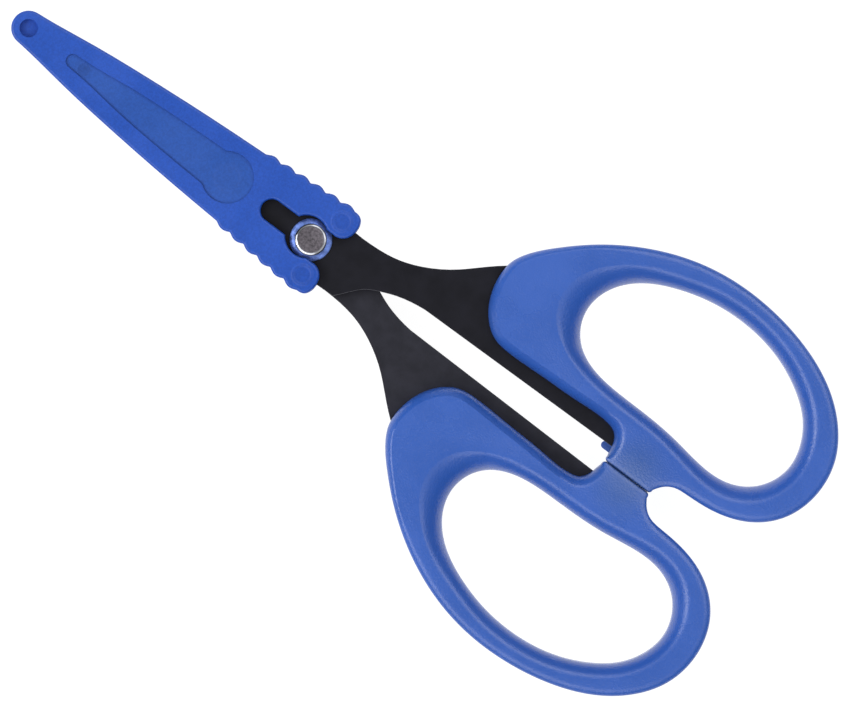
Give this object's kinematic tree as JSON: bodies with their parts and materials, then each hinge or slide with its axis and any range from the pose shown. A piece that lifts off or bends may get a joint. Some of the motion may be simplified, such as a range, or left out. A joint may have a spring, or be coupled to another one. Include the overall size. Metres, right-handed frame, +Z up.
{
  "type": "small sheathed scissors",
  "caption": "Small two-loop scissors: black-coated blades crossed at a rivet, moulded handles with finger loops, and a slide-on blade sheath with a peg hole.",
  "frame": {"origin": "under the middle of the whole length, on the plane the handles lie on", "axes": "+X along the length towards the blade and sheath tips, +Z up out of the flat face, +Y towards the rear handle"},
  "size_m": [0.1386, 0.0662, 0.009],
  "materials": {
    "blade_coat": "satin black non-stick coating on steel",
    "handle_plastic": "satin moulded, blue",
    "sheath_plastic": "soft gloss moulded, blue",
    "rivet_metal": "plated, with a matt face and a bright bevel",
    "collar_metal": "polished"
  },
  "bodies": {
    "pivot": {"pivot_rivet": "rivet_metal", "collar_washer": "collar_metal", "tail_washer": "rivet_metal"},
    "front_half": {"front_blade": "blade_coat", "front_handle": "handle_plastic"},
    "rear_half": {"rear_blade": "blade_coat", "rear_handle": "handle_plastic"},
    "sheath": {"blade_sheath": "sheath_plastic"}
  },
  "joints": [
    {"name": "blades_open", "type": "hinge", "parent": "pivot", "child": "front_half", "pos_m": [0.014, 0, 0.0045], "axis": [0, 0, 1], "range_deg": [0, 20]},
    {"name": "rear_half_open", "type": "hinge", "parent": "pivot", "child": "rear_half", "pos_m": [0.014, 0, 0.0045], "axis": [0, 0, -1], "range_deg": [0, 20]},
    {"name": "sheath_slide", "type": "slide", "parent": "pivot", "child": "sheath", "axis": [1, 0, 0], "range_m": [0, 0.158]}
  ],
  "couplings": [
    {"joint": "rear_half_open", "follows": "blades_open", "ratio": 1},
    {"joint": "sheath_slide", "follows": "blades_open", "m_per_rad": 0.45}
  ]
}
